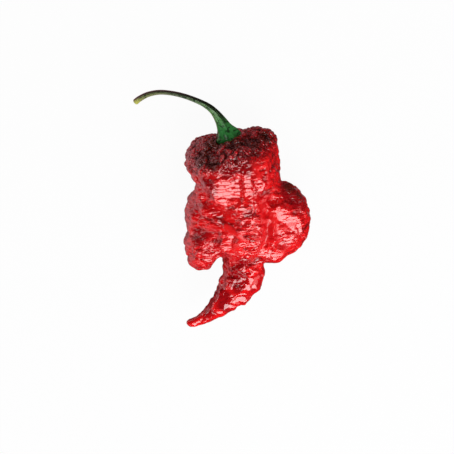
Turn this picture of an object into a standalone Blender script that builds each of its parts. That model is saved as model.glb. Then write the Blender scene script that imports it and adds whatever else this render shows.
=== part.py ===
"""A Trinidad Moruga scorpion pepper, picked, lying on its back with its green stalk still on.

The pod is one solid, as it grew: a ring of shoulders round the stalk's seat, a squat body that
hangs down in lobes, and a wrinkled tail. The stalk is the second solid: a thin bent stem that flares
into the calyx, whose root stands in a socket at the top of the pod.

The pod lies with its stalk end towards +Y and its tail towards -Y. +Z is up, and +X is to the right
of someone who stands at the tail and looks down on it. Sizes are in millimetres until the last step.
"""

import math
from collections import namedtuple

import bmesh
import bpy
from mathutils import Euler, Matrix, Vector, kdtree, noise

METRES = 0.001

# Grain of the pod's mesh while it is shaped, and how many triangles the finished solid keeps.
SHAPING_CELL = 0.62
MELT_ROUNDS = 10
POD_TRIANGLES = 11600

# The pod's lumps: each one's middle, half sizes, turn in degrees, and how square its ends are,
# from 2 for an ellipsoid upwards to a drum with soft edges.
Lump = namedtuple("Lump", "middle radii turn square", defaults=((0, 0, 0), 2.0))
LUMPS = {
    "barrel": Lump((-1.2, 9.0, 0.0), (14.2, 12.3, 13.0), (7, 0, 10), 3.0),
    "shoulder_left": Lump((-10.0, 13.0, 0.0), (7.4, 7.8, 8.8)),
    "shoulder_right": Lump((5.4, 15.2, -2.0), (7.6, 7.9, 9.4)),
    "shoulder_back": Lump((0.2, 14.8, -6.0), (7.2, 6.8, 7.0)),
    "shoulder_front_left": Lump((-7.0, 10.8, 5.6), (7.4, 8.0, 7.6)),
    "shoulder_front_right": Lump((3.8, 10.8, 5.6), (8.0, 10.0, 7.6)),
    "shoulder_back_left": Lump((-8.2, 11.4, -7.2), (7.6, 7.8, 8.2)),
    "shoulder_back_right": Lump((4.2, 12.9, -7.5), (8.0, 7.9, 8.0)),
    "belly": Lump((1.0, -7.4, 0.0), (14.2, 12.6, 12.6)),
    "lobe_right": Lump((12.9, -7.4, -2.0), (10.0, 12.2, 9.6)),
    "lobe_left": Lump((-10.7, -4.8, 0.0), (6.8, 9.4, 8.6)),
    "lobe_left_tip": Lump((-11.5, -14.0, 1.0), (6.2, 8.4, 7.0), (0, 0, -3)),
    "lobe_left_toe": Lump((-11.8, -19.2, 1.2), (5.0, 4.6, 5.0)),
    "lobe_left_inner": Lump((-8.0, -12.6, 1.6), (5.4, 6.6, 6.0)),
    "lobe_front": Lump((3.2, -4.6, 5.0), (7.6, 12.4, 8.6), (0, 0, 4)),
    "lobe_back_left": Lump((-6.6, -6.6, -6.8), (8.6, 11.0, 8.4)),
    "lobe_back_right": Lump((8.2, -6.0, -6.9), (8.8, 11.6, 8.3)),
    "lobe_back_tip": Lump((1.6, -13.6, -7.0), (7.4, 6.6, 6.6)),
    "lobe_right_tip": Lump((10.2, -14.9, 2.2), (6.6, 6.0, 6.0)),
    "fold_left": Lump((-4.8, -5.8, 6.4), (10.4, 3.8, 4.8), (0, 0, -38)),
    "lip": Lump((2.0, -12.0, 5.4), (8.0, 4.0, 6.0), (0, 0, -4)),
}

# The tail's own line, root to tip: each step is a point and the tail's radius there.
Step = namedtuple("Step", "point radius")
TAIL = [
    Step((1.4, -13.5, -1.5), 6.3),
    Step((1.2, -20.6, -1.2), 7.0),
    Step((0.6, -26.2, -1.2), 6.5),
    Step((-2.2, -31.6, -1.8), 5.6),
    Step((-5.9, -36.3, -2.6), 4.1),
    Step((-9.8, -40.0, -3.4), 2.8),
    Step((-13.1, -42.2, -3.6), 2.0),
    Step((-15.9, -42.9, -3.2), 1.8),
]
# Knuckles that stand out along the tail's outer side, from root to tip.
KNUCKLES = [
    Step((5.0, -25.2, -0.4), 3.7),
    Step((3.6, -29.0, -0.8), 3.8),
    Step((0.6, -32.8, -1.2), 3.6),
    Step((-2.8, -36.4, -2.0), 2.6),
    Step((-6.8, -39.4, -2.8), 2.0),
]

# Valleys pressed into the pod, and ridges raised on it where the depth is negative.
Crease = namedtuple("Crease", "line width depth")
CREASES = {
    "seat_edge": Crease([(-7.5, 20.6, 4.8), (-3.5, 21.0, 5.6), (0.8, 21.8, 3.8)], 2.6, -1.0),
    "shoulder_valley": Crease([(-6.4, 20.0, 5.0), (-8.0, 16.0, 10.5), (-9.4, 12.5, 13.0)], 1.9, 0.9),
    "shoulder_cleft": Crease([(-3.8, 21.0, -4.5), (-4.2, 18.0, -10.5), (-3.4, 12.0, -14.4)], 2.2, 1.2),
    "front_edge": Crease([(5.4, 14.0, 12.6), (5.6, 3.0, 12.6)], 2.2, -0.5),
    "right_valley": Crease([(8.4, 4.0, 11.0), (8.2, -4.0, 11.0), (8.6, -11.5, 8.8)], 2.4, 1.3),
    "right_top": Crease([(13.4, 4.4, -2.0), (15.4, 3.8, -2.0)], 2.1, -0.8),
    "right_edge": Crease([(13.4, -1.5, 6.6), (14.4, -10.0, 6.2)], 2.0, -0.5),
    "left_valley": Crease([(-7.6, -9.5, 8.6), (-5.0, -14.5, 6.4)], 1.8, 0.6),
    "waist_right": Crease([(13.4, 5.4, 3.0), (13.8, 5.6, -2.0), (12.6, 5.6, -7.0)], 1.6, 0.4),
    "waist_left": Crease([(-15.4, 5.2, 3.0), (-15.4, 5.6, 0.0), (-13.6, 5.2, -6.0)], 1.9, 0.9),
    "drum_foot": Crease([(-7.0, 2.6, 12.4), (2.4, 2.2, 13.2)], 2.6, -0.9),
    "tail_fold": Crease([(-6.4, -22.2, 1.0), (-2.6, -25.6, 5.4), (2.4, -26.4, 5.8)], 1.5, 1.6),
    "tail_fold_low": Crease([(-5.6, -29.2, 1.8), (-2.4, -30.6, 4.0), (1.2, -32.2, 3.4)], 1.2, 0.8),
    "tail_root": Crease([(-5.6, -15.6, 3.6), (0.4, -15.2, 6.0), (6.6, -17.4, 4.4)], 1.6, 1.5),
}

# The skin's relief: how far apart its bumps, wrinkles and the tail's rings are, and how high.
SKIN_SEED = 5
BUMP_SPACING = 4.4
BUMP_HEIGHT = 1.2
TAIL_BUMP_HEIGHT = 0.72
WRINKLE_SPACING = 3.4
WRINKLE_HEIGHT = 1.3
TAIL_RING_SPACING = 3.3
TAIL_RING_HEIGHT = 0.35

# Bumps and wrinkles wander by this much, over this distance, so that none of them runs straight.
SWAY = 1.6
SWAY_SPACING = 9.0
RING_JITTER = 1.4
RING_JITTER_SPACING = 2.9

# Where the relief changes, as pairs of start and end: up the shoulders, where bumps take over from
# wrinkles, down to the tail's tip, where the skin grows smooth, and along the tail's first stretch.
SHOULDERS = (6.0, 14.0)
TAIL_TIP = (-42.0, -36.0)
TAIL_START = (4.0, 9.0)

# How far the pod is pressed flat where it rests.
REST_FLAT = 0.6

# The stalk's line, from its root in the socket to its cut end. The third step is the calyx's rim.
STALK = [
    Step((-3.0, 18.6, 0.6), 2.4),
    Step((-3.3, 20.2, 0.8), 3.5),
    Step((-3.7, 21.4, 1.0), 3.9),
    Step((-4.0, 22.4, 1.1), 3.45),
    Step((-4.8, 24.2, 1.4), 2.5),
    Step((-6.1, 27.0, 2.0), 1.75),
    Step((-8.2, 30.2, 2.6), 1.2),
    Step((-10.8, 32.4, 3.0), 0.96),
    Step((-13.8, 34.0, 3.1), 0.84),
    Step((-17.8, 35.4, 2.8), 0.78),
    Step((-21.8, 36.1, 2.1), 0.75),
    Step((-25.6, 36.1, 1.2), 0.77),
    Step((-29.1, 35.1, 0.2), 0.84),
    Step((-31.7, 33.4, -0.9), 0.93),
    Step((-33.1, 32.0, -1.8), 0.97),
]
STALK_SPACING = 1.1

# The calyx's blunt lobes: how many, how far they stand out, how far up the stem they fade, and the
# share of them that runs on up the stem as soft corners, to the height where it turns round.
CALYX_LOBES = 5
CALYX_LOBE = 0.45
CALYX_REACH = 2.4
CORNER_SHARE = 0.18
CORNERS_END = 14.0
ROOT_DEPTH = 0.6

# Room left round the calyx's root, in the pod's socket.
SOCKET_GAP = 0.3


def clear_scene():
    for obj in list(bpy.data.objects):
        bpy.data.objects.remove(obj, do_unlink=True)


def collection(name):
    made = bpy.data.collections.new(name)
    bpy.context.scene.collection.children.link(made)
    return made


def skin_material(name, colour, roughness):
    made = bpy.data.materials.new(name)
    made.use_nodes = True
    shader = made.node_tree.nodes["Principled BSDF"]
    shader.inputs["Base Color"].default_value = (*colour, 1.0)
    shader.inputs["Roughness"].default_value = roughness
    shader.inputs["Metallic"].default_value = 0.0
    made.diffuse_color = (*colour, 1.0)
    return made


def add_object(name, mesh, group):
    obj = bpy.data.objects.new(name, mesh)
    group.objects.link(obj)
    return obj


def evaluated_mesh(obj):
    """The object's mesh with its modifiers applied, and the object removed."""
    bpy.context.view_layer.update()
    graph = bpy.context.evaluated_depsgraph_get()
    mesh = bpy.data.meshes.new_from_object(obj.evaluated_get(graph))
    bpy.data.objects.remove(obj)
    return mesh


def in_steady_order(mesh):
    """The same mesh with corners and faces sorted by place, so that every build of it comes out alike."""
    corners = [tuple(round(value, 4) for value in vertex.co) for vertex in mesh.vertices]
    order = sorted(range(len(corners)), key=corners.__getitem__)
    rank = {old: new for new, old in enumerate(order)}
    faces = []
    for face in mesh.polygons:
        ring = [rank[index] for index in face.vertices]
        start = ring.index(min(ring))
        faces.append(ring[start:] + ring[:start])
    steady = bpy.data.meshes.new("steady")
    steady.from_pydata([corners[old] for old in order], [], sorted(faces))
    return steady


def melted(mesh, group, cell):
    """The mesh's overlapping lumps made one closed skin of even cells."""
    obj = add_object("melting", mesh, group)
    remesh = obj.modifiers.new("One skin", "REMESH")
    remesh.mode = "VOXEL"
    remesh.voxel_size = cell
    return in_steady_order(evaluated_mesh(obj))


def softened(mesh, group, rounds):
    obj = add_object("softening", mesh, group)
    soften = obj.modifiers.new("Soft joins", "SMOOTH")
    soften.factor = 0.5
    soften.iterations = rounds
    return evaluated_mesh(obj)


def thinned(mesh, group, triangles):
    """The skin with this many triangles, the fewest where it is smooth."""
    obj = add_object("thinning", mesh, group)
    thin = obj.modifiers.new("Fewer triangles", "DECIMATE")
    thin.ratio = triangles / sum(len(face.vertices) - 2 for face in mesh.polygons)
    thin.use_collapse_triangulate = True
    return evaluated_mesh(obj)


def smooth_route(steps, spacing):
    """Points and radii along a smooth curve through the steps, about this far apart."""
    route = []
    last = len(steps) - 1
    for index in range(last):
        ends = [steps[max(index - 1, 0)], steps[index], steps[index + 1], steps[min(index + 2, last)]]
        a, b, c, d = (Vector((*step.point, step.radius)) for step in ends)
        count = max(1, round((c - b).length / spacing))
        for k in range(count):
            t = k / count
            bend = (2 * a - 5 * b + 4 * c - d) * t * t + (3 * b - a - 3 * c + d) * t ** 3
            at = b + ((c - a) * t + bend) / 2
            route.append(Step(Vector(at[:3]), at[3]))
    route.append(Step(Vector(steps[last].point), steps[last].radius))
    return route


def tapered_rod(name, steps, spacing, sides_level, group):
    """A closed mesh round the route, whose radius follows the steps."""
    route = smooth_route(steps, spacing)
    curve = bpy.data.curves.new(name, "CURVE")
    curve.dimensions = "3D"
    curve.bevel_depth = 1.0
    curve.bevel_resolution = sides_level
    curve.use_fill_caps = True
    spline = curve.splines.new("POLY")
    spline.points.add(len(route) - 1)
    for point, step in zip(spline.points, route):
        point.co = (*step.point, 1.0)
        point.radius = step.radius
    mesh = evaluated_mesh(add_object(name, curve, group))
    shape = bmesh.new()
    shape.from_mesh(mesh)
    bmesh.ops.remove_doubles(shape, verts=shape.verts, dist=0.001)
    bmesh.ops.recalc_face_normals(shape, faces=shape.faces)
    shape.to_mesh(mesh)
    shape.free()
    return mesh


def pod_lumps(group):
    """Every lump of the pod, with the tail and its knuckles, in one mesh of overlapping bodies."""
    shape = bmesh.new()
    for lump in LUMPS.values():
        made = bmesh.ops.create_icosphere(shape, subdivisions=4, radius=1.0)
        for vertex in made["verts"]:
            around = math.hypot(vertex.co.x, vertex.co.z)
            vertex.co /= (abs(vertex.co.y) ** lump.square + around ** lump.square) ** (1 / lump.square)
        turn = Euler([math.radians(angle) for angle in lump.turn])
        place = Matrix.LocRotScale(Vector(lump.middle), turn, Vector(lump.radii))
        bmesh.ops.transform(shape, matrix=place, verts=made["verts"])
    for knuckle in KNUCKLES + [TAIL[-1]]:
        made = bmesh.ops.create_icosphere(shape, subdivisions=3, radius=knuckle.radius)
        bmesh.ops.translate(shape, vec=Vector(knuckle.point), verts=made["verts"])
    shape.from_mesh(tapered_rod("tail", TAIL, 1.0, 6, group))
    mesh = bpy.data.meshes.new("lumps")
    shape.to_mesh(mesh)
    shape.free()
    return mesh


def distance_to_line(point, line):
    """How far a point is from a chain of straight runs."""
    nearest = math.inf
    for start, end in zip(line, line[1:]):
        run = end - start
        share = min(1.0, max(0.0, (point - start).dot(run) / run.length_squared))
        nearest = min(nearest, (point - start - run * share).length)
    return nearest


def push_skin(mesh, height):
    """Moves the skin out, along its own normals, by the height that a function gives for each point."""
    places = [vertex.co + vertex.normal * height(vertex.co) for vertex in mesh.vertices]
    for vertex, place in zip(mesh.vertices, places):
        vertex.co = place
    mesh.update()


def crease_height(point, creases):
    height = 0.0
    for crease in creases:
        away = distance_to_line(point, crease.line) / crease.width
        height -= crease.depth * math.exp(-away * away)
    return height


def tail_tree():
    """The tail's line as points that can be looked up, four to each ring of its wrinkles."""
    route = smooth_route(TAIL, TAIL_RING_SPACING / 4)
    tree = kdtree.KDTree(len(route))
    for index, step in enumerate(route):
        tree.insert(step.point, index)
    tree.balance()
    return tree


def smooth_ramp(value, low, high):
    t = min(1.0, max(0.0, (value - low) / (high - low)))
    return t * t * (3 - 2 * t)


def bump_relief(place):
    """Plump round bumps with narrow valleys between them, from -0.35 to 0.65."""
    nearest, second = noise.voronoi(place / BUMP_SPACING)[0][:2]
    return min(1.0, second - nearest) - 0.35


def wrinkle_relief(point, sway):
    """Folds with sharp crests that mostly run across the pod."""
    stretched = Vector((point.x * 0.38, point.y, point.z * 0.55)) + sway
    return 0.35 - abs(noise.noise(stretched * (2.0 / WRINKLE_SPACING)))


def skin_height(point, tree):
    """How far the skin stands out at a point of the pod."""
    sway = noise.noise_vector(point / SWAY_SPACING) * SWAY
    bump = bump_relief(point + sway)
    shoulder = smooth_ramp(point.y, *SHOULDERS)
    bumps_share = 0.65 + 0.35 * shoulder
    wrinkles_share = 1 - 0.6 * shoulder
    body = BUMP_HEIGHT * bumps_share * bump + WRINKLE_HEIGHT * wrinkles_share * wrinkle_relief(point, sway)
    along_tail = tree.find(point)[1] * TAIL_RING_SPACING / 4
    jitter = noise.noise(point / RING_JITTER_SPACING) * RING_JITTER
    ring = math.sin((along_tail + jitter) * math.tau / TAIL_RING_SPACING)
    tail = TAIL_BUMP_HEIGHT * bump + TAIL_RING_HEIGHT * ring
    on_tail = smooth_ramp(along_tail, *TAIL_START)
    smoothness = 0.25 + 0.75 * smooth_ramp(point.y, *TAIL_TIP)
    return (body + (tail - body) * on_tail) * smoothness


def flatten_underside(mesh):
    """Presses the lowest skin onto the surface that the pod lies on."""
    ground = min(vertex.co.z for vertex in mesh.vertices) + REST_FLAT
    for vertex in mesh.vertices:
        vertex.co.z = max(vertex.co.z, ground)
    mesh.update()


def make_pod(group, scrap):
    noise.seed_set(SKIN_SEED)
    mesh = softened(melted(pod_lumps(scrap), scrap, SHAPING_CELL), scrap, MELT_ROUNDS)
    creases = [Crease([Vector(p) for p in c.line], c.width, c.depth) for c in CREASES.values()]
    push_skin(mesh, lambda point: crease_height(point, creases))
    tree = tail_tree()
    push_skin(mesh, lambda point: skin_height(point, tree))
    mesh = thinned(melted(mesh, scrap, SHAPING_CELL), scrap, POD_TRIANGLES)
    flatten_underside(mesh)
    return add_object("pod", mesh, group)


def shape_calyx(mesh):
    """Five blunt lobes round the calyx's rim, which run up the stem as soft corners."""
    seat = Vector(STALK[2].point)
    up = (Vector(STALK[4].point) - Vector(STALK[1].point)).normalized()
    side = up.cross(Vector((0, 0, 1))).normalized()
    front = side.cross(up)
    for vertex in mesh.vertices:
        offset = vertex.co - seat
        rise = offset.dot(up)
        if -ROOT_DEPTH < rise < CORNERS_END:
            out = offset - up * rise
            wave = math.cos(CALYX_LOBES * math.atan2(out.dot(front), out.dot(side)))
            fade = math.exp(-((rise / CALYX_REACH) ** 2)) + CORNER_SHARE
            vertex.co += out.normalized() * CALYX_LOBE * wave * fade
    mesh.update()


def make_stalk(group, scrap):
    mesh = tapered_rod("stalk", STALK, STALK_SPACING, 5, scrap)
    shape_calyx(mesh)
    return add_object("stalk", mesh, group)


def cut_socket(pod, stalk, scrap):
    """The hole that the calyx's root stands in: the stalk's own shape, a gap larger all round."""
    mesh = stalk.data.copy()
    for vertex in mesh.vertices:
        vertex.co += vertex.normal * SOCKET_GAP
    cutter = add_object("socket_cutter", mesh, scrap)
    cutter.hide_render = True
    cutter.display_type = "WIRE"
    cut = pod.modifiers.new("Socket", "BOOLEAN")
    cut.operation = "DIFFERENCE"
    cut.object = cutter
    bpy.context.view_layer.update()
    graph = bpy.context.evaluated_depsgraph_get()
    pod.data = bpy.data.meshes.new_from_object(pod.evaluated_get(graph))
    pod.modifiers.clear()
    bpy.data.objects.remove(cutter)


def set_on_origin(objects):
    """Stands the object on the XY plane, centred over the origin, and turns millimetres into metres."""
    corners = [vertex.co for obj in objects for vertex in obj.data.vertices]
    low = Vector([min(co[axis] for co in corners) for axis in range(3)])
    high = Vector([max(co[axis] for co in corners) for axis in range(3)])
    foot = Vector(((low.x + high.x) / 2, (low.y + high.y) / 2, low.z))
    place = Matrix.Scale(METRES, 4) @ Matrix.Translation(-foot)
    for obj in objects:
        obj.data.transform(place)
        obj.data.update()


def finish(obj, material):
    obj.data.name = obj.name
    obj.data.materials.clear()
    obj.data.materials.append(material)
    obj.data.shade_smooth()


def main():
    clear_scene()
    pepper = collection("scorpion_pepper")
    scrap = collection("working")
    pod = make_pod(pepper, scrap)
    stalk = make_stalk(pepper, scrap)
    cut_socket(pod, stalk, scrap)
    set_on_origin([pod, stalk])
    finish(pod, skin_material("pod_red", (0.62, 0.02, 0.025), 0.25))
    finish(stalk, skin_material("stalk_green", (0.05, 0.22, 0.05), 0.45))
    bpy.data.collections.remove(scrap)


main()
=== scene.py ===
"""The looks of a Trinidad Moruga scorpion pepper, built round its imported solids.

The pepper lies on a pale floor with its tail towards -Y and its stalk towards +Y. The camera looks
down on it, tilted a little towards the stalk. Shapes are worked out in millimetres, in the part's own
frame, and given to Blender in metres.
"""

import math

import bpy
import numpy as np
from mathutils import Matrix, Vector, noise


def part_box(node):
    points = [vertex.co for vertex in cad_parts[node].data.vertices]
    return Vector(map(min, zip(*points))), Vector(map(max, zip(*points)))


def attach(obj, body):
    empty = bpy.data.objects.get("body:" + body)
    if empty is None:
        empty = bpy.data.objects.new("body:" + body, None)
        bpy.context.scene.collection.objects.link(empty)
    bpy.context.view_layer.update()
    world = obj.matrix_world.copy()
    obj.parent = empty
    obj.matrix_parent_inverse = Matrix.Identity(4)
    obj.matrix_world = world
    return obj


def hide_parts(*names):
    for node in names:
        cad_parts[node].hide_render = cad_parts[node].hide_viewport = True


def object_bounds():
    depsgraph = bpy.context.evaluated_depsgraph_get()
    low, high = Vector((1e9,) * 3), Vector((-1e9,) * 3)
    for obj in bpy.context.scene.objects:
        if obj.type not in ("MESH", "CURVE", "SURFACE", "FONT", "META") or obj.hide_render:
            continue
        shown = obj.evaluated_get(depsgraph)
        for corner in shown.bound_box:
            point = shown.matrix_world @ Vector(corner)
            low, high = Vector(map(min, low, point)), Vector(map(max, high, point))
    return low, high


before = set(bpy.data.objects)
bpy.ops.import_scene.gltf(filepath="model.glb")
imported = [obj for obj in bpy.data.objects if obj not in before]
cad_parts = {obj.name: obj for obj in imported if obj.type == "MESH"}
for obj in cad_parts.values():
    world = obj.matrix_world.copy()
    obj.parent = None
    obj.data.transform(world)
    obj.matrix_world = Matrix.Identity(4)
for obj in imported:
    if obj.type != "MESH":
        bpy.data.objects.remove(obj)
cad_low, cad_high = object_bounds()

# The pod: the ripe fruit, a thin waxy skin over firm flesh that grew in one piece. The solid gives
# its lobes, folds and rings. Here the same skin is drawn in finer cells and crinkled: pebbles on the
# shoulders, long creases across the drum and the lobes, knobs on the tail.
MM = 0.001
POD_CELL = 0.305 * MM
POD_SMOOTHING = 6
SKIN_SEED = 11

# Long lens-shaped wrinkles, which run round the pod. Spacings and heights are in millimetres.
LENS_SPACING = 2.3
LENS_STRETCH = 0.36
LENS_HEIGHT = 0.42
LENS_LEAN = 1.2

# Round pebbles on the shoulders and low knobs on the tail: the spacing and the height of each.
PEBBLES = (2.1, 0.90)
KNOBS = (3.0, 0.30)
PEBBLE_LEAN = 0.6

# What all the wrinkles share: how far a top reaches and what tips it, its valley, the way that they
# sway, a slow crumple over them, and the mean that calmer skin comes nearer to.
TOP_REACH = 0.85
TIP_SEED = 7.3
VALLEY_WIDTH = 0.42
VALLEY_DEPTH = 0.16
SWAY_SPACING = 3.5
SWAY = 1.3
LENS_SWAY = 0.6
CRUMPLE_SPACING = 3.0
CRUMPLE_HEIGHT = 0.16
CRUMPLE_STEEPNESS = 2.5
MEAN_HEIGHT = 0.36

# The share of the wrinkles that is left in a calm band and on a flat face, the share that goes on
# the tail, and the share of a spot's boldness that goes into the mesh.
CALM_SHARE = 0.22
FACE_WRINKLES = 0.35
TAIL_CALM = 0.35
BOLD_SHARE = 0.25

# The skin's level is that of its higher parts, so the relief goes down into the solid and hardly out
# of it. This many in a hundred of the heights are below the level, and this many below the tops.
LEVEL_PERCENTILE = 75
TOP_PERCENTILE = 98

# Where the shoulders begin, along Y minus 0.3 X, and where the tail begins, along Y, in millimetres.
SHOULDER_SLANT = 0.3
SHOULDER_RAMP = (14.5, 19.5)
TAIL_RAMP = (-15.0, -20.0)

# Bands of stretched skin with hardly a wrinkle: two ends and a half-width in millimetres. The edge
# of each band, as of the spots and faces below, fades out between two shares of its width.
CALM_EDGE = (0.6, 1.5)
CALM_BANDS = [
    ((1.2, -1.6, 26.4), (7.2, -6.4, 27.2), 0.9),
    ((14.5, 19.0, 25.5), (14.6, 5.5, 24.0), 0.8),
    ((9.0, 20.5, 26.6), (11.2, 15.8, 28.0), 1.3),
    ((13.2, 4.5, 24.1), (13.6, -9.0, 23.8), 1.7),
    ((18.0, -11.0, 22.6), (22.0, -11.5, 20.6), 1.7),
    ((17.5, -3.6, 23.2), (23.0, -2.8, 21.3), 0.8),
    ((3.6, -7.4, 26.2), (4.6, -9.6, 25.8), 1.2),
    ((16.5, 0.5, 22.5), (17.0, -8.0, 22.6), 1.2),
]

# Spots where the wrinkles are bolder: middle and radius in millimetres, and how many times bolder.
BOLD_EDGE = (0.6, 1.3)
BOLD_SPOTS = [
    ((9.0, -1.5, 27.4), 5.5, 1.8),
    ((7.5, -8.5, 26.3), 4.0, 1.7),
    ((15.5, -2.0, 22.8), 4.5, 0.5),
    ((7.0, 5.2, 27.5), 2.4, 0.5),
    ((5.0, 18.5, 27.0), 4.5, 1.4),
    ((-4.5, -11.0, 22.0), 4.5, 1.8),
    ((20.5, -3.0, 22.0), 6.5, 0.65),
    ((-9.5, 6.0, 18.5), 6.0, 1.9),
]

# Faces of the skin that are nearly flat: two ends, the way each looks, and half-width in millimetres.
# Most of them happen to look the way that gleams under the soft box.
GLEAMS = (0.18, -0.10, 0.98)
DRUM_FACES = [
    ((-0.6, 9.0, 27.2), (3.6, 10.4, 27.4), GLEAMS, 4.0),
    ((8.2, 15.4, 27.7), (8.2, 9.4, 27.5), GLEAMS, 1.9),
    ((12.1, 13.0, 27.1), (12.1, 11.0, 27.1), GLEAMS, 1.4),
    ((-0.8, 17.4, 27.1), (1.8, 17.4, 27.3), (0.00, 0.35, 0.94), 1.8),
    ((4.2, 18.0, 27.3), (6.8, 18.0, 27.3), (0.00, 0.35, 0.94), 1.8),
]
FRONT_FACES = [
    ((4.0, 4.2, 27.4), (8.6, 3.8, 27.6), GLEAMS, 1.0),
    ((6.5, 0.4, 27.7), (12.0, 0.0, 27.0), GLEAMS, 1.0),
    ((5.5, -3.6, 27.5), (10.5, -3.8, 27.2), GLEAMS, 1.0),
    ((4.5, -7.6, 26.7), (11.5, -8.2, 26.2), GLEAMS, 1.3),
]
RIGHT_LOBE_FACES = [
    ((17.2, 2.2, 22.2), (23.4, -3.0, 21.6), GLEAMS, 2.8),
    ((20.0, -4.8, 22.2), (21.4, -3.4, 22.2), (0.50, 0.15, 0.85), 0.9),
    ((24.6, -3.6, 20.2), (25.3, -5.8, 19.6), GLEAMS, 1.1),
    ((19.2, -8.4, 21.9), (22.2, -7.6, 21.2), GLEAMS, 1.4),
    ((14.9, 2.0, 22.9), (15.6, -8.6, 23.0), (-0.25, 0.15, 0.95), 1.9),
    ((13.0, -12.3, 22.4), (18.4, -13.3, 22.4), GLEAMS, 1.6),
    ((21.6, 5.6, 18.4), (24.4, 4.0, 18.0), (0.25, 0.60, 0.75), 2.4),
]
LEFT_GLEAMS = (-0.62, 0.26, 0.75)
LEFT_LOBE_FACES = [
    ((-7.6, 12.4, 22.6), (-7.5, 7.2, 21.0), LEFT_GLEAMS, 1.6),
    ((-7.9, 4.6, 21.0), (-8.8, 1.4, 22.0), LEFT_GLEAMS, 1.6),
    ((2.8, -6.6, 26.2), (0.2, -9.4, 24.3), GLEAMS, 2.0),
    ((-1.0, -10.6, 23.4), (-4.2, -14.0, 21.6), GLEAMS, 2.0),
    ((3.8, -8.0, 26.2), (4.6, -8.8, 26.1), (-0.40, -0.35, 0.85), 0.9),
    ((-7.6, -4.6, 21.8), (-4.6, -6.6, 22.8), (-0.40, 0.20, 0.90), 1.8),
]
TAIL_FACES = [
    ((3.0, -15.6, 19.7), (7.0, -15.8, 20.4), (-0.20, -0.35, 0.90), 1.5),
    ((3.8, -26.2, 17.8), (-1.0, -31.8, 16.0), (-0.32, 0.12, 0.94), 2.2),
    ((7.4, -24.2, 19.3), (8.6, -25.6, 18.8), GLEAMS, 1.0),
    ((8.4, -22.0, 19.0), (9.4, -22.6, 18.6), GLEAMS, 0.7),
    ((10.0, -24.7, 18.2), (11.0, -25.7, 17.6), GLEAMS, 0.7),
    ((5.0, -28.9, 17.2), (7.0, -30.1, 16.7), GLEAMS, 1.2),
    ((1.6, -31.6, 16.8), (3.8, -32.4, 16.4), GLEAMS, 1.0),
    ((-1.6, -34.0, 15.5), (0.2, -34.8, 15.4), GLEAMS, 0.9),
]
FACES = DRUM_FACES + FRONT_FACES + RIGHT_LOBE_FACES + LEFT_LOBE_FACES + TAIL_FACES

# How far a face is pressed flat, as a share and at most in millimetres, and how ragged its edge is.
FACE_SHARE = 0.85
FACE_MOST = 1.8
FACE_EDGE = (0.65, 1.35)
RAGGED_SPACING = 1.5
RAGGED_SHARE = 0.5

# Folds that stand out (or are pressed in, below 0): two ends, half-width and height in millimetres.
SHOULDER_FOLDS = [
    ((1.6, 21.4, 25.7), (6.2, 21.6, 25.6), 0.45, 0.50),
    ((2.2, 20.3, 26.3), (6.9, 20.4, 26.3), 0.50, -0.45),
    ((6.3, 19.3, 27.0), (8.7, 19.2, 27.1), 0.40, 0.40),
    ((-3.0, 16.6, 26.6), (-1.0, 17.6, 27.2), 0.40, 0.40),
    ((4.6, 16.4, 27.6), (6.4, 16.1, 27.6), 0.40, 0.35),
    ((-1.1, 23.6, 19.0), (-5.3, 20.0, 23.8), 1.20, -0.60),
]
DRUM_FOLDS = [
    ((-6.0, 3.4, 24.1), (7.2, -6.6, 27.1), 0.8, 0.35),
    ((5.6, 17.4, 27.6), (5.8, 6.2, 27.4), 0.35, -0.25),
    ((10.5, 17.4, 27.7), (10.6, 5.6, 27.2), 0.45, -0.30),
    ((-4.4, 15.0, 26.4), (-4.0, 7.0, 25.6), 0.80, -0.50),
]
LOBE_FOLDS = [
    ((0.9, -5.6, 25.8), (-2.6, -10.6, 22.6), 0.40, -0.45),
    ((0.2, -4.5, 25.7), (-2.6, -8.6, 23.0), 0.45, 0.40),
    ((-8.2, -8.5, 22.2), (-5.7, -7.6, 22.5), 0.40, 0.45),
    ((-8.2, -10.2, 22.1), (-6.0, -9.6, 22.6), 0.40, 0.45),
    ((-7.8, -11.6, 22.5), (-6.0, -11.0, 22.6), 0.40, 0.40),
]
TAIL_FOLDS = [
    ((3.0, -12.9, 22.9), (6.4, -13.1, 23.8), 0.60, 0.80),
    ((8.2, -13.8, 22.4), (10.4, -15.0, 20.0), 0.60, 0.80),
    ((2.7, -16.2, 19.2), (9.1, -16.4, 20.2), 0.80, -0.70),
    ((3.4, -18.8, 19.8), (6.0, -17.8, 20.7), 0.60, 0.85),
    ((8.2, -18.0, 20.3), (11.4, -19.8, 18.4), 0.70, 0.85),
    ((3.4, -20.6, 19.2), (8.4, -19.6, 20.0), 0.50, -0.60),
    ((1.6, -22.5, 17.7), (5.8, -22.2, 18.7), 0.60, 0.90),
    ((-0.4, -24.5, 16.0), (6.6, -24.3, 19.4), 0.70, -0.80),
    ((2.4, -28.4, 18.0), (7.6, -27.4, 18.2), 0.40, -0.55),
    ((0.5, -19.3, 15.4), (2.1, -21.6, 17.8), 0.30, 0.50),
    ((-1.2, -25.3, 14.2), (3.0, -28.6, 18.0), 0.30, 0.50),
]
FOLDS = SHOULDER_FOLDS + DRUM_FOLDS + LOBE_FOLDS + TAIL_FOLDS

# Brown stains on the shoulders, where the ripening red hasn't come through: middle and radius. A
# stain, like a shade, thins out to nothing at this many times its radius.
SPOT_REACH = 1.7
STAINS = [
    ((-2.5, 23.3, 19.0), 3.4),
    ((-4.6, 21.0, 22.6), 2.6),
    ((4.0, 23.8, 21.5), 3.0),
    ((10.0, 24.0, 21.0), 3.0),
    ((-6.5, 18.6, 23.3), 2.2),
    ((-2.6, 18.6, 25.2), 1.8),
    ((13.5, 25.0, 17.0), 2.4),
    ((21.5, 7.8, 15.0), 2.4),
    ((24.8, 5.4, 16.0), 2.0),
]

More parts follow.
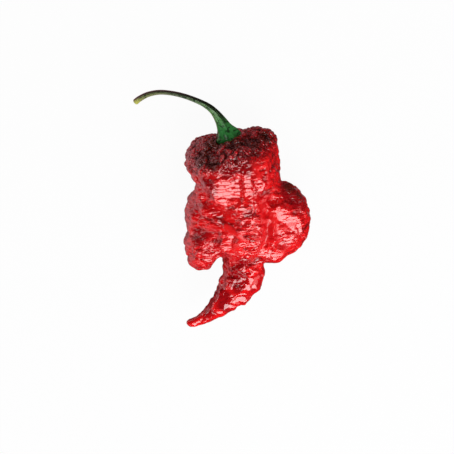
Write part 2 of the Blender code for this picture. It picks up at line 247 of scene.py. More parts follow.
# Spots of deeper red, partly painted shade, as under the lobe over the tail's root and in the left
# lobe's hollow, and partly the skin's own deeper tone: middle and radius.
SHADES = [
    ((-4.6, 11.5, 26.3), 3.0),
    ((2.0, 17.6, 27.3), 3.2),
    ((7.0, 18.0, 27.3), 2.6),
    ((-7.0, -6.4, 22.0), 2.8),
    ((7.0, -15.6, 20.5), 2.4),
    ((4.5, -24.3, 18.8), 2.6),
    ((-0.2, -27.8, 16.5), 3.0),
    ((0.4, -31.0, 15.6), 2.6),
    ((-4.5, -34.5, 13.8), 2.6),
    ((5.5, -20.5, 19.4), 2.4),
    ((24.5, 4.0, 17.0), 3.2),
    ((21.0, 7.0, 16.0), 3.2),
]


def finer_copy(node, name, cell, rounds):
    """The CAD node's mesh drawn again in small even cells, with its facets smoothed away."""
    obj = bpy.data.objects.new(name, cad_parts[node].data.copy())
    bpy.context.scene.collection.objects.link(obj)
    remesh = obj.modifiers.new("Fine cells", "REMESH")
    remesh.mode = "VOXEL"
    remesh.voxel_size = cell
    soften = obj.modifiers.new("No facets", "SMOOTH")
    soften.factor = 0.5
    soften.iterations = rounds
    bpy.context.view_layer.update()
    graph = bpy.context.evaluated_depsgraph_get()
    mesh = bpy.data.meshes.new_from_object(obj.evaluated_get(graph))
    obj.modifiers.clear()
    obj.data = mesh
    return obj


def mesh_points(mesh):
    """The mesh's points in millimetres."""
    points = np.empty(len(mesh.vertices) * 3, np.float32)
    mesh.vertices.foreach_get("co", points)
    return points.reshape(-1, 3).astype(float) / MM


def mesh_normals(mesh):
    """The way the mesh faces at each of its points."""
    normals = np.empty(len(mesh.vertices) * 3, np.float32)
    mesh.vertex_normals.foreach_get("vector", normals)
    return normals.reshape(-1, 3).astype(float)


def smooth_ramp(values, start, end):
    """0 before the start, 1 past the end and a smooth rise between them."""
    t = np.clip((values - start) / (end - start), 0, 1)
    return t * t * (3 - 2 * t)


def distance_to_line(points, start, end):
    """How far each point is from the straight line between two ends."""
    start, end = np.array(start), np.array(end)
    along = np.clip((points - start) @ (end - start) / ((end - start) @ (end - start)), 0, 1)
    return np.linalg.norm(points - start - along[:, None] * (end - start), axis=1)


def inside(away, width, edge):
    """A mask that is 1 well within a width and falls to 0 between the edge's two shares of it."""
    return 1 - smooth_ramp(away, edge[0] * width, edge[1] * width)


def calm_share(points):
    """How stretched the skin is, from 0 where it is fully wrinkled to 1 in the middle of a band."""
    calm = np.zeros(len(points))
    for start, end, width in CALM_BANDS:
        away = distance_to_line(points, start, end)
        calm = np.maximum(calm, inside(away, width, CALM_EDGE))
    return calm


def boldness(points):
    """How many times bolder than elsewhere the wrinkles are."""
    bold = np.ones(len(points))
    for middle, radius, times in BOLD_SPOTS:
        away = np.linalg.norm(points - np.array(middle), axis=1)
        bold += (times - 1) * inside(away, radius, BOLD_EDGE)
    return bold


def flattened(points):
    """The points with each face pressed towards its own plane, and how far each lies in a face."""
    rough = np.array([noise.noise(Vector(point) / RAGGED_SPACING) for point in points])
    ragged = 1 + RAGGED_SHARE * rough
    points = points.copy()
    faced = np.zeros(len(points))
    for start, end, looks, width in FACES:
        looks = np.array(looks) / np.linalg.norm(looks)
        away = distance_to_line(points, start, end) * ragged
        near = inside(away, width, FACE_EDGE)
        above = points @ looks
        above -= (above * near).sum() / near.sum()
        points -= (np.clip(above, -FACE_MOST, FACE_MOST) * near * FACE_SHARE)[:, None] * looks
        faced = np.maximum(faced, near)
    return points, faced


def fold_heights(points):
    """How far the single folds raise the skin at each point, in millimetres."""
    heights = np.zeros(len(points))
    for start, end, width, height in FOLDS:
        heights += height * np.exp(-((distance_to_line(points, start, end) / width) ** 2))
    return heights


def spotted(points, spots):
    """How strong the spots are at each point, up to 1 in the middle of one and below 0 far away."""
    share = np.full(len(points), -1.0)
    for middle, radius in spots:
        away = np.linalg.norm(points - np.array(middle), axis=1)
        share = np.maximum(share, 1 - away / (SPOT_REACH * radius))
    return share


def blister(place, spacing, lean):
    """One of the skin's cells: its round top, tipped its own way, and the thin valley round it."""
    (nearest, second), (middle, _) = (found[:2] for found in noise.voronoi(place / spacing))
    tip = (place / spacing - middle).dot(noise.noise_vector(middle * TIP_SEED))
    top = max(0.0, 1 - (nearest / TOP_REACH) ** 2) + lean * tip
    valley = min(1.0, (second - nearest) / VALLEY_WIDTH)
    return top, valley


def wrinkle_heights(points, shoulder, tail, calm, bold, faced):
    """How far the skin stands above its deepest valleys at each point, in millimetres."""
    heights = np.empty(len(points))
    for index, point in enumerate(points):
        point = Vector(point)
        sway = noise.noise_vector(point / SWAY_SPACING) * SWAY
        girth = Vector((point.x * LENS_STRETCH, point.y, point.z * LENS_STRETCH)) + sway * LENS_SWAY
        round_share = max(shoulder[index], tail[index])
        lens_top, lens_valley = blister(girth, LENS_SPACING, LENS_LEAN)
        top = LENS_HEIGHT * lens_top
        valley = VALLEY_DEPTH * lens_valley
        if round_share > 0:
            spacing, height = PEBBLES if shoulder[index] > 0 else KNOBS
            pebble_top, pebble_valley = blister(point + sway, spacing, PEBBLE_LEAN)
            top += (height * pebble_top - top) * round_share
            valley += (VALLEY_DEPTH * pebble_valley - valley) * round_share
        crumple = abs(noise.noise((girth + sway) / CRUMPLE_SPACING))
        top += CRUMPLE_HEIGHT * min(1.0, crumple * CRUMPLE_STEEPNESS)
        top = MEAN_HEIGHT + (top - MEAN_HEIGHT) * (1 - (1 - FACE_WRINKLES) * faced[index])
        depth = 1 + BOLD_SHARE * (bold[index] - 1)
        depth *= 1 - (1 - CALM_SHARE) * calm[index]
        depth *= 1 - TAIL_CALM * tail[index]
        heights[index] = MEAN_HEIGHT + (top + valley - MEAN_HEIGHT) * depth
    return heights


def put_attribute(mesh, name, values):
    """Keeps a value for each point of the mesh, for the material to read."""
    mesh.attributes.new(name, "FLOAT", "POINT").data.foreach_set("value", values.astype(np.float32))


noise.seed_set(SKIN_SEED)
pod = finer_copy("pod", "pod_skin", POD_CELL, POD_SMOOTHING)
points, faced = flattened(mesh_points(pod.data))
pod.data.vertices.foreach_set("co", (points * MM).astype(np.float32).ravel())
pod.data.update()
normals = mesh_normals(pod.data)
brown = spotted(points, STAINS)
shade = spotted(points, SHADES)
shoulder = smooth_ramp(points[:, 1] - SHOULDER_SLANT * points[:, 0], *SHOULDER_RAMP)
tail = smooth_ramp(points[:, 1], *TAIL_RAMP)
calm = calm_share(points)
bold = boldness(points)
heights = wrinkle_heights(points, shoulder, tail, calm, bold, faced)
level = np.percentile(heights, LEVEL_PERCENTILE)
points += normals * (heights - level + fold_heights(points))[:, None]
pod_low, pod_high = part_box("pod")
points = np.clip(points * MM, np.array(pod_low), np.array(pod_high))
pod.data.vertices.foreach_set("co", points.astype(np.float32).ravel())
pod.data.update()
pod.data.shade_smooth()
marks = {
    "relief": heights / np.percentile(heights, TOP_PERCENTILE),
    "calm": calm,
    "shoulder": shoulder,
    "tail": tail,
    "brown": brown,
    "shade": shade,
    "bold": bold,
    "faced": faced,
}
for name, values in marks.items():
    put_attribute(pod.data, name, values)


def new_material(name):
    """A new material with its nodes, links and main shader."""
    made = bpy.data.materials.new(name)
    made.use_nodes = True
    return made, made.node_tree.nodes, made.node_tree.links, made.node_tree.nodes["Principled BSDF"]


def attribute(nodes, name):
    """A value that was kept for each point of the mesh."""
    made = nodes.new("ShaderNodeAttribute")
    made.attribute_name = name
    return made.outputs["Fac"]


def feed(links, socket, value):
    """Sets an input to a number, or links it where the value is another node's output."""
    if isinstance(value, (int, float)):
        socket.default_value = value
    else:
        links.new(value, socket)


def reckon(nodes, links, operation, *values):
    """One sum, each value a number or another node's output."""
    made = nodes.new("ShaderNodeMath")
    made.operation = operation
    for socket, value in zip(made.inputs, values):
        feed(links, socket, value)
    return made.outputs[0]


def rise(nodes, links, value, start, end):
    """A mask that goes smoothly from 0 at start to 1 at end."""
    made = nodes.new("ShaderNodeMapRange")
    made.interpolation_type = "SMOOTHSTEP"
    feed(links, made.inputs["Value"], value)
    feed(links, made.inputs["From Min"], start)
    feed(links, made.inputs["From Max"], end)
    return made.outputs["Result"]


def blend(nodes, links, share, first, second):
    """One colour over another, each a colour or another node's output."""
    made = nodes.new("ShaderNodeMix")
    made.data_type = "RGBA"
    feed(links, made.inputs["Factor"], share)
    for name, colour in (("A", first), ("B", second)):
        if isinstance(colour, tuple):
            made.inputs[name].default_value = (*colour, 1.0)
        else:
            links.new(colour, made.inputs[name])
    return made.outputs["Result"]


def mottle_group():
    """Blotches for a material: soft noise, weighed and pushed by a value, as a mask from 0 to 1."""
    group = bpy.data.node_groups.new("mottle", "ShaderNodeTree")
    group.interface.new_socket("Place", in_out="INPUT", socket_type="NodeSocketVector")
    for name in ("Scale", "Detail", "Weight", "Push", "Start", "End"):
        group.interface.new_socket(name, in_out="INPUT", socket_type="NodeSocketFloat")
    group.interface.new_socket("Share", in_out="OUTPUT", socket_type="NodeSocketFloat")
    nodes, links = group.nodes, group.links
    given = nodes.new("NodeGroupInput").outputs
    soft = nodes.new("ShaderNodeTexNoise")
    links.new(given["Place"], soft.inputs["Vector"])
    links.new(given["Scale"], soft.inputs["Scale"])
    links.new(given["Detail"], soft.inputs["Detail"])
    pushed = reckon(nodes, links, "MULTIPLY_ADD", soft.outputs["Fac"], given["Weight"], given["Push"])
    share = rise(nodes, links, pushed, given["Start"], given["End"])
    links.new(share, nodes.new("NodeGroupOutput").inputs["Share"])
    return group


MOTTLE = mottle_group()


def mottle(nodes, links, place, size, detail, span, weight=1.0, push=0.0):
    """The mottle in a material: blotches of about a size, absent below the span and full above it."""
    made = nodes.new("ShaderNodeGroup")
    made.node_tree = MOTTLE
    links.new(place, made.inputs["Place"])
    made.inputs["Scale"].default_value = 0.5 / size
    made.inputs["Detail"].default_value = detail
    made.inputs["Weight"].default_value = weight
    feed(links, made.inputs["Push"], push)
    made.inputs["Start"].default_value, made.inputs["End"].default_value = span
    return made.outputs["Share"]


RIPE_RED = (0.52, 0.004, 0.005)
DEEP_RED = (0.42, 0.002, 0.004)
# Painted shade for the skin's valleys.
VALLEY_SHADE_RED = (0.18, 0.001, 0.002)
# Partly painted shade, for the spots of deeper red.
SHADE_MAROON = (0.24, 0.001, 0.003)
CRIMSON = (0.38, 0.005, 0.008)
UMBER = (0.115, 0.006, 0.003)
# Painted shade for the shoulders' gaps, nearly black.
GAP_SHADE = (0.030, 0.002, 0.001)

# Where the shoulders darken, in metres along Y minus 0.3 X, and how the dark edge wavers there.
DARK_ZONE = (0.0205, 0.0240)
DARK_WAVER = 0.009

# Painted shade in the valleys and the shoulders' gaps: how low the relief is where it starts to darken
# them, and where it is darkest.
VALLEY_RELIEF = (0.40, 0.05)
GAP_RELIEF = (0.80, 0.25)
VALLEY_SHARE = 0.8

# The creases too thin for the mesh: their scale per metre along each axis, how finely they wander,
# the cells that they lie between, how their sides rise, and the dome of each cell, lower on a face.
CREASE_SCALE = (340, 1000, 340)
WANDER_SCALE = 350
CREASE_CELLS = 0.75
CREASE_SIDES = (0.0, 0.16)
DOME_ROUNDING = 0.12
DOME_SLOPE = -7.0
DOME_LESS_ON_FACE = 2.5

# The finest grains of the shoulders: their size, how far they wander, their domes, and the painted
# shade of the gaps between them.
GRAIN_SPACING = 0.9 * MM
GRAIN_WANDER = 2.2 * MM
GRAIN_ROUNDING = 0.15
GRAIN_SLOPE = -9.0
GRAIN_TOP = 4.6
GRAIN_GAP = (0.30, 0.62)
# How much of the painted shade goes into the grains' gaps.
GRAIN_SHADE_SHARE = 0.60

# One unit of bump in metres, and the share of it that goes in calm bands and on the tail.
BUMP_HEIGHT = 0.06 * MM
CALM_BUMP_OFF = 0.85

# The gloss: a wet-looking coat nearly everywhere, and a duller one on calm bands and in dark gaps.
ROUGHNESS = 0.16
CALM_ROUGHNESS = 0.26
DULL_COAT = 0.1

skin, nodes, links, shader = new_material("pepper_skin")
place = nodes.new("ShaderNodeTexCoord").outputs["Object"]
split = nodes.new("ShaderNodeSeparateXYZ")
links.new(place, split.inputs[0])
relief = attribute(nodes, "relief")
calm_band = attribute(nodes, "calm")
shoulder_mask = attribute(nodes, "shoulder")

# Two ripe reds, spots of deeper red that are partly painted shade, the dark zone round the stalk, its
# stains, and painted shade in the valleys.
ripe = mottle(nodes, links, place, size=4.0 * MM, detail=4, span=(0.35, 0.60))
colour = blend(nodes, links, ripe, DEEP_RED, RIPE_RED)
# Spots of deeper red, partly painted shade.
spot = attribute(nodes, "shade")
shaded = mottle(nodes, links, place, size=3.0 * MM, detail=3, span=(0.75, 1.25), weight=1.2, push=spot)
colour = blend(nodes, links, shaded, colour, SHADE_MAROON)
slant = reckon(nodes, links, "MULTIPLY_ADD", split.outputs["X"], -SHOULDER_SLANT, split.outputs["Y"])
dark_zone = mottle(
    nodes, links, place, size=2.2 * MM, detail=3, span=DARK_ZONE, weight=DARK_WAVER, push=slant
)
colour = blend(nodes, links, dark_zone, colour, CRIMSON)
spot = attribute(nodes, "brown")
stain = mottle(nodes, links, place, size=2.2 * MM, detail=3, span=(0.85, 1.15), weight=1.2, push=spot)
colour = blend(nodes, links, stain, colour, UMBER)
# Painted shade: where the relief is low, in the valleys and the shoulders' gaps, the colour darkens.
painted_valley_shade = rise(nodes, links, relief, *VALLEY_RELIEF)
gaps = reckon(nodes, links, "MULTIPLY", rise(nodes, links, relief, *GAP_RELIEF), shoulder_mask)
painted_valley_shade = reckon(nodes, links, "MAXIMUM", painted_valley_shade, gaps)
# The painted shade of the valleys turns nearly black in the dark zone's gaps.
deep = blend(nodes, links, dark_zone, VALLEY_SHADE_RED, GAP_SHADE)
colour = blend(nodes, links, reckon(nodes, links, "MULTIPLY", painted_valley_shade, VALLEY_SHARE), colour, deep)

# Creases too thin for the mesh: long ones over the drum and lobes, round grains on the shoulders.
stretch = nodes.new("ShaderNodeMapping")
stretch.inputs["Scale"].default_value = CREASE_SCALE
links.new(place, stretch.inputs["Vector"])
wander = nodes.new("ShaderNodeTexNoise")
wander.inputs["Scale"].default_value = WANDER_SCALE
links.new(place, wander.inputs["Vector"])
moved = nodes.new("ShaderNodeVectorMath")
moved.operation = "ADD"
links.new(stretch.outputs[0], moved.inputs[0])
links.new(wander.outputs["Color"], moved.inputs[1])
creases = nodes.new("ShaderNodeTexVoronoi")
creases.feature = "DISTANCE_TO_EDGE"
creases.inputs["Scale"].default_value = CREASE_CELLS
links.new(moved.outputs[0], creases.inputs["Vector"])
crease_rise = rise(nodes, links, creases.outputs["Distance"], *CREASE_SIDES)
domes = nodes.new("ShaderNodeTexVoronoi")
domes.feature = "SMOOTH_F1"
domes.inputs["Scale"].default_value = CREASE_CELLS
domes.inputs["Smoothness"].default_value = DOME_ROUNDING
links.new(moved.outputs[0], domes.inputs["Vector"])
on_face = attribute(nodes, "faced")
dome_share = reckon(nodes, links, "MULTIPLY_ADD", on_face, DOME_LESS_ON_FACE, DOME_SLOPE)
dome_distance = domes.outputs["Distance"]
crease_height = reckon(nodes, links, "MULTIPLY_ADD", dome_distance, dome_share, crease_rise)
warp = nodes.new("ShaderNodeVectorMath")
warp.operation = "MULTIPLY_ADD"
warp.inputs[1].default_value = (GRAIN_WANDER, GRAIN_WANDER, GRAIN_WANDER)
links.new(wander.outputs["Color"], warp.inputs[0])
links.new(place, warp.inputs[2])
grains = nodes.new("ShaderNodeTexVoronoi")
grains.feature = "SMOOTH_F1"
grains.inputs["Scale"].default_value = 1 / GRAIN_SPACING
grains.inputs["Smoothness"].default_value = GRAIN_ROUNDING
links.new(warp.outputs[0], grains.inputs["Vector"])
# Painted shade in the gaps between the shoulders' grains.
grain_gap_shade = rise(nodes, links, grains.outputs["Distance"], *GRAIN_GAP)
grain_gap_shade = reckon(nodes, links, "MULTIPLY", grain_gap_shade, shoulder_mask)
grain_gap_shade = reckon(nodes, links, "MULTIPLY", grain_gap_shade, GRAIN_SHADE_SHARE)
colour = blend(nodes, links, grain_gap_shade, colour, GAP_SHADE)
links.new(colour, shader.inputs["Base Color"])

# The bump: full on the wrinkled skin, bolder in the bold spots, and faint on calm bands and the tail.
grain_distance = grains.outputs["Distance"]
grain_height = reckon(nodes, links, "MULTIPLY_ADD", grain_distance, GRAIN_SLOPE, GRAIN_TOP)
share = reckon(nodes, links, "MAXIMUM", calm_band, attribute(nodes, "tail"))
share = reckon(nodes, links, "MULTIPLY_ADD", share, -CALM_BUMP_OFF, 1.0)
share = reckon(nodes, links, "MULTIPLY", share, attribute(nodes, "bold"))
crease_height = reckon(nodes, links, "MULTIPLY", crease_height, share)
mixed = nodes.new("ShaderNodeMix")
links.new(shoulder_mask, mixed.inputs["Factor"])
links.new(crease_height, mixed.inputs["A"])
links.new(grain_height, mixed.inputs["B"])
bump = nodes.new("ShaderNodeBump")
bump.inputs["Distance"].default_value = BUMP_HEIGHT
links.new(mixed.outputs["Result"], bump.inputs["Height"])
links.new(bump.outputs["Normal"], shader.inputs["Normal"])
links.new(bump.outputs["Normal"], shader.inputs["Coat Normal"])

more_rough = CALM_ROUGHNESS - ROUGHNESS
roughness = reckon(nodes, links, "MULTIPLY_ADD", calm_band, more_rough, ROUGHNESS)
links.new(roughness, shader.inputs["Roughness"])
dull = reckon(nodes, links, "MAXIMUM", calm_band, gaps)
coat = reckon(nodes, links, "MULTIPLY_ADD", dull, DULL_COAT - 1.0, 1.0)
links.new(coat, shader.inputs["Coat Weight"])
shader.inputs["Specular IOR Level"].default_value = 0.3
shader.inputs["Coat Roughness"].default_value = 0.04
shader.inputs["Subsurface Weight"].default_value = 0.25
shader.inputs["Subsurface Scale"].default_value = 1.8 * MM
shader.inputs["Subsurface Radius"].default_value = (1.0, 0.15, 0.08)
pod.data.materials.clear()
pod.data.materials.append(skin)
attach(pod, "root")
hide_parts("pod")

# The stalk: a tough green stem with the calyx that it flares into, grown in one piece, cut straight
# off at its far end. Its calyx sits on the pod, with the root in the pod's socket. It is a tube drawn
# round a bent line, and gets five blunt lobes at the calyx and fine ribs along the stem.

# The line is the source's own, from the calyx's root to the cut end: each point and the radius there,
# in millimetres. The place moves it into the part's frame.
STALK_PLACE = Vector((5.4425, 3.7215, 14.8002))
STALK_LINE = [
    ((-3.0, 18.6, 0.6), 2.4),
    ((-3.3, 20.2, 0.8), 3.5),
    ((-3.7, 21.4, 1.0), 3.9),
    ((-4.0, 22.4, 1.1), 3.45),
    ((-4.8, 24.2, 1.4), 2.5),
    ((-6.1, 27.0, 2.0), 1.75),
    ((-8.2, 30.2, 2.6), 1.2),
    ((-10.8, 32.4, 3.0), 0.96),
    ((-13.8, 34.0, 3.1), 0.84),
    ((-17.8, 35.4, 2.8), 0.78),
    ((-21.8, 36.1, 2.1), 0.75),
    ((-25.6, 36.1, 1.2), 0.77),
    ((-29.1, 35.1, 0.2), 0.84),
    ((-31.7, 33.4, -0.9), 0.93),
    ((-33.1, 32.0, -1.8), 0.97),
]
STALK_RING = 72
STALK_STEP = 0.16

# The calyx's lobes: how far they stand out, how far up they reach, and the share of them that goes on
# as soft corners up the stem.
CALYX_LOBES = 5
CALYX_LOBE = 0.45
CALYX_REACH = 2.4
CORNER_SHARE = 0.18
CORNERS_END = 14.0
ROOT_DEPTH = 0.6

# The fine ribs, which turn to and fro a little round the stem.
RIBS = 13
RIB_HEIGHT = 0.035
RIB_TURN = 0.8
RIB_TURN_PACE = 0.02


def smooth_route(line, spacing):
    """Points and radii along a smooth curve through the line's own points."""
    route = []
    last = len(line) - 1
    for index in range(last):
        ends = [line[max(index - 1, 0)], line[index], line[index + 1], line[min(index + 2, last)]]
        a, b, c, d = (Vector((*point, radius)) for point, radius in ends)
        count = max(1, round((c - b).length / spacing))
        for k in range(count):
            t = k / count
            bend = (2 * a - 5 * b + 4 * c - d) * t * t + (3 * b - a - 3 * c + d) * t**3
            route.append(b + ((c - a) * t + bend) / 2)
    route.append(Vector((*line[last][0], line[last][1])))
    return route


def stalk_rings(route):
    """A ring of points round each point of the route, none of them twisted against the next."""
    across = Vector((0, 0, 1))
    rings = []
    for index, step in enumerate(route):
        before = route[max(index - 1, 0)]
        after = route[min(index + 1, len(route) - 1)]
        along = Vector(after[:3]) - Vector(before[:3])
        along.normalize()
        across = (across - along * across.dot(along)).normalized()
        side = along.cross(across)
        centre = Vector(step[:3])
        ring = []
        for k in range(STALK_RING):
            angle = math.tau * k / STALK_RING
            turn = RIB_TURN * math.sin(index * RIB_TURN_PACE)
            rib = RIB_HEIGHT * math.cos(RIBS * angle + turn)
            radius = step[3] + rib * min(1.0, step[3])
            ring.append(centre + (across * math.cos(angle) + side * math.sin(angle)) * radius)
        rings.append(ring)
    return rings


def calyx_shape(point):
    """The point moved to the calyx's five blunt lobes, which run up the stem as soft corners."""
    seat = Vector(STALK_LINE[2][0])
    up = (Vector(STALK_LINE[4][0]) - Vector(STALK_LINE[1][0])).normalized()
    side = up.cross(Vector((0, 0, 1))).normalized()
    front = side.cross(up)
    offset = point - seat
    climb = offset.dot(up)
    if not -ROOT_DEPTH < climb < CORNERS_END:
        return point
    out = offset - up * climb
    wave = math.cos(CALYX_LOBES * math.atan2(out.dot(front), out.dot(side)))
    fade = math.exp(-((climb / CALYX_REACH) ** 2)) + CORNER_SHARE
    return point + out.normalized() * CALYX_LOBE * wave * fade


route = smooth_route(STALK_LINE, STALK_STEP)
rings = stalk_rings(route)
corners = [calyx_shape(point) for ring in rings for point in ring]
corners = [(point + STALK_PLACE) * MM for point in corners]
ends = [Vector(route[0][:3]), Vector(route[-1][:3])]
corners += [(end + STALK_PLACE) * MM for end in ends]
faces = []
for row in range(len(rings) - 1):
    for k in range(STALK_RING):
        a = row * STALK_RING + k
        b = row * STALK_RING + (k + 1) % STALK_RING
        faces.append((a, b, b + STALK_RING, a + STALK_RING))
last_ring = (len(rings) - 1) * STALK_RING
for k in range(STALK_RING):
    after = (k + 1) % STALK_RING
    faces.append((after, k, len(corners) - 2))
    faces.append((last_ring + k, last_ring + after, len(corners) - 1))
stalk_mesh = bpy.data.meshes.new("stalk_skin")
stalk_mesh.from_pydata(corners, [], faces)
stalk_low, stalk_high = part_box("stalk")
corners = np.clip(mesh_points(stalk_mesh) * MM, np.array(stalk_low), np.array(stalk_high))
stalk_mesh.vertices.foreach_set("co", corners.astype(np.float32).ravel())
stalk_mesh.shade_smooth()
stalk = bpy.data.objects.new("stalk_skin", stalk_mesh)
bpy.context.scene.collection.objects.link(stalk)
along = np.repeat(np.arange(len(rings)) / (len(rings) - 1), STALK_RING)
put_attribute(stalk_mesh, "along", np.append(along, [0.0, 1.0]))


def ramp(nodes, stops):
    """A colour ramp through stops, each a position and a colour."""
    made = nodes.new("ShaderNodeValToRGB")
    made.color_ramp.interpolation = "EASE"
    elements = made.color_ramp.elements
    while len(elements) < len(stops):
        elements.new(0.5)
    for element, (position, colour) in zip(elements, stops):
        element.position = position
        element.color = (*colour, 1.0)
    return made


# The stem's green, from the calyx at 0 to the dry yellow cut at 1.
GREEN_STOPS = [
    (0.0, (0.014, 0.120, 0.020)),
    (0.16, (0.020, 0.140, 0.028)),
    (0.34, (0.050, 0.130, 0.030)),
    (0.60, (0.085, 0.105, 0.060)),
    (0.90, (0.120, 0.130, 0.050)),
    (1.0, (0.330, 0.330, 0.060)),
]
FLECK_GREEN = (0.006, 0.026, 0.006)
SHADOW_GREEN = (0.005, 0.009, 0.003)

# How far along the stem the painted shade on its far side fades in. That side looks towards +Y, which
# is up in the picture.
SHADOW_START = (0.14, 0.30)

green, nodes, links, shader = new_material("stalk_green")
place = nodes.new("ShaderNodeTexCoord").outputs["Object"]
stem = ramp(nodes, GREEN_STOPS)
links.new(attribute(nodes, "along"), stem.inputs["Fac"])
fleck = mottle(nodes, links, place, size=0.5 * MM, detail=3, span=(0.50, 0.66))
colour = blend(nodes, links, fleck, stem.outputs["Color"], FLECK_GREEN)
# Painted shade on the side of the stem that looks towards +Y.
facing = nodes.new("ShaderNodeSeparateXYZ")
links.new(nodes.new("ShaderNodeNewGeometry").outputs["Normal"], facing.inputs[0])
dark_side = facing.outputs["Y"]
shadow_side = mottle(
    nodes, links, place, size=1.5 * MM, detail=3, span=(0.32, 0.58), weight=0.5, push=dark_side
)
away_from_pod = rise(nodes, links, attribute(nodes, "along"), *SHADOW_START)
shadow_side = reckon(nodes, links, "MULTIPLY", shadow_side, away_from_pod)
colour = blend(nodes, links, shadow_side, colour, SHADOW_GREEN)
links.new(colour, shader.inputs["Base Color"])
shader.inputs["Roughness"].default_value = 0.27
shader.inputs["Specular IOR Level"].default_value = 0.4
stalk_mesh.materials.append(green)
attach(stalk, "root")
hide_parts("stalk")

# The floor: a plain near-white studio table, which bounces a little light back up. The camera sees it
# as white. The skin's gloss sees it dark but for a bright part off to the left, which gives the left
# edge its pale streaks, and a dimmer one right below, both tinted by the pepper's own red.
FLOOR_SIZE = 4.0
FLOOR_DROP = 0.05 * MM
FLOOR_COLOUR = (0.45, 0.45, 0.46, 1)
FLOOR_SEEN = 0.95
WINDOW_SIDE = (-0.92, 0.24, 0.0)
WINDOW_RAMP = (0.005, 0.045)
WINDOW_GLOW = 1.5
BELOW_RAMP = (0.13, 0.06)
BELOW_GLOW = 0.3
FAR_GLOW = 0.05
GLOSS_TINT = (1.0, 0.46, 0.50, 1)

floor_mesh = bpy.data.meshes.new("floor")
half = FLOOR_SIZE / 2
edge = [(-half, -half, 0), (half, -half, 0), (half, half, 0), (-half, half, 0)]
floor_mesh.from_pydata(edge, [], [(0, 1, 2, 3)])
floor = bpy.data.objects.new("floor", floor_mesh)
floor.location.z = -FLOOR_DROP
bpy.context.scene.collection.objects.link(floor)
table, nodes, links, shader = new_material("pale_table")
shader.inputs["Base Color"].default_value = FLOOR_COLOUR
shader.inputs["Roughness"].default_value = 0.9
shader.inputs["Specular IOR Level"].default_value = 0.0
seen = nodes.new("ShaderNodeLightPath")
towards = nodes.new("ShaderNodeVectorMath")
towards.operation = "DOT_PRODUCT"
towards.inputs[1].default_value = WINDOW_SIDE
links.new(nodes.new("ShaderNodeTexCoord").outputs["Object"], towards.inputs[0])
window = rise(nodes, links, towards.outputs["Value"], *WINDOW_RAMP)
steep = nodes.new("ShaderNodeLayerWeight")
steep.inputs["Blend"].default_value = 0.5
below = rise(nodes, links, steep.outputs["Facing"], *BELOW_RAMP)
below = reckon(nodes, links, "MULTIPLY", below, BELOW_GLOW)
mirrored = reckon(nodes, links, "MULTIPLY_ADD", window, WINDOW_GLOW, FAR_GLOW)
mirrored = reckon(nodes, links, "MAXIMUM", mirrored, below)
under = shader.outputs["BSDF"]
for ray, tint, tone, share in (
    ("Is Glossy Ray", GLOSS_TINT, mirrored, 1.0),
    ("Is Camera Ray", (1, 1, 1, 1), 1.0, FLOOR_SEEN),
):
    glow = nodes.new("ShaderNodeEmission")
    glow.inputs["Color"].default_value = tint
    feed(links, glow.inputs["Strength"], tone)
    over = nodes.new("ShaderNodeMixShader")
    feed(links, over.inputs["Fac"], reckon(nodes, links, "MULTIPLY", seen.outputs[ray], share))
    links.new(under, over.inputs[1])
    links.new(glow.outputs["Emission"], over.inputs[2])
    under = over.outputs["Shader"]
links.new(under, nodes["Material Output"].inputs["Surface"])
floor_mesh.materials.append(table)

# The studio: one large soft box over the tail end, a dim one beside it, and three low cards that
# light the front, left and back edges. The walls are pale and light the pepper evenly but hardly show
# in its gloss, so that the far sides of the bumps stay deep in colour.
ROOM_LIGHT = 0.56
ROOM_SIDE = (0.60, -0.55, 0.30)
ROOM_IN_GLOSS = 0.015
ROOM_SEEN = 0.97
CARD_PINK = (1.0, 0.55, 0.60)

world = bpy.data.worlds.new("dim_room")
bpy.context.scene.world = world
world.use_nodes = True
nodes = world.node_tree.nodes
links = world.node_tree.links
room = nodes["Background"]
room.inputs["Color"].default_value = (1.0, 1.0, 1.0, 1)
seen = nodes.new("ShaderNodeLightPath")
sideways = nodes.new("ShaderNodeVectorMath")
sideways.operation = "DOT_PRODUCT"
sideways.inputs[1].default_value = ROOM_SIDE
links.new(nodes.new("ShaderNodeTexCoord").outputs["Generated"], sideways.inputs[0])
strength = reckon(nodes, links, "MULTIPLY_ADD", sideways.outputs["Value"], ROOM_LIGHT, ROOM_LIGHT)
for ray, tone in (("Is Glossy Ray", ROOM_IN_GLOSS), ("Is Camera Ray", ROOM_SEEN)):
    made = nodes.new("ShaderNodeMix")
    links.new(seen.outputs[ray], made.inputs["Factor"])
    feed(links, made.inputs["A"], strength)
    made.inputs["B"].default_value = tone
    strength = made.outputs["Result"]
links.new(strength, room.inputs["Strength"])
part_middle = (cad_low + cad_high) / 2


def soft_box(name, direction, distance, size, radiance, tint=(1, 1, 1)):
    """A rectangular light that faces the pepper, as bright in its face as the radiance says."""
    lamp = bpy.data.lights.new(name, "AREA")
    lamp.shape = "RECTANGLE"
    lamp.size, lamp.size_y = size
    lamp.color = tint
    lamp.energy = math.pi * size[0] * size[1] * radiance
    obj = bpy.data.objects.new(name, lamp)
    bpy.context.scene.collection.objects.link(obj)
    obj.location = part_middle + Vector(direction).normalized() * distance
    obj.rotation_euler = (obj.location - part_middle).to_track_quat("Z", "Y").to_euler()
    obj.visible_camera = False


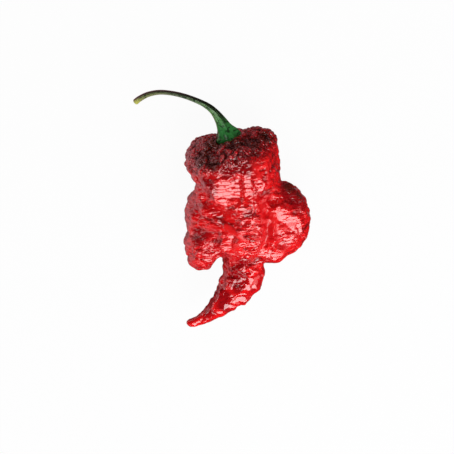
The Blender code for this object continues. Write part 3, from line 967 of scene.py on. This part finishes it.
soft_box("key_box", (0.32, -0.48, 0.81), 0.50, (0.46, 0.38), 6.0)
soft_box("fill_box", (0.75, -0.45, 0.40), 0.70, (0.60, 0.60), 1.2)
soft_box("front_card", (-0.42, -0.82, 0.30), 0.60, (0.26, 0.12), 3.0)
soft_box("left_card", (-0.95, 0.05, 0.25), 0.60, (0.30, 0.14), 3.2)
soft_box("back_card", (-0.10, 0.97, 0.20), 0.60, (0.90, 0.10), 1.9, CARD_PINK)

# The camera: a long lens, looking down from a little towards the stalk's side. The picture is square,
# and the part's middle is at this pixel of it, counted from the top left.
CAMERA_TILT = math.radians(18)
FOCAL_LENGTH = 800
SENSOR = 36
PICTURE = 454
PICTURE_WIDTH = 145.3 * MM
OBJECT_MIDDLE = (222.3, 209.2)
CLIP_END = 20
to_camera = Vector((0, math.sin(CAMERA_TILT), math.cos(CAMERA_TILT)))
picture_up = Vector((0, math.cos(CAMERA_TILT), -math.sin(CAMERA_TILT)))
picture_right = Vector((1, 0, 0))


def middle_along(direction):
    """Halfway between the ends of the CAD solids along a direction."""
    reach = [
        vertex.co.dot(direction)
        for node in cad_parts.values()
        for vertex in node.data.vertices
    ]
    return (min(reach) + max(reach)) / 2


pixel = PICTURE_WIDTH / PICTURE
aim = (
    picture_right * (middle_along(picture_right) + (PICTURE / 2 - OBJECT_MIDDLE[0]) * pixel)
    + picture_up * (middle_along(picture_up) - (PICTURE / 2 - OBJECT_MIDDLE[1]) * pixel)
    + to_camera * middle_along(to_camera)
)
lens = bpy.data.cameras.new("camera")
lens.lens = FOCAL_LENGTH
lens.sensor_width = SENSOR
camera = bpy.data.objects.new("camera", lens)
bpy.context.scene.collection.objects.link(camera)
turned = Matrix((picture_right, picture_up, to_camera)).transposed()
camera.rotation_euler = turned.to_euler()
camera.location = aim + to_camera * (PICTURE_WIDTH * FOCAL_LENGTH / SENSOR)
lens.clip_end = CLIP_END
bpy.context.scene.camera = camera
bpy.context.scene.view_settings.view_transform = "Standard"
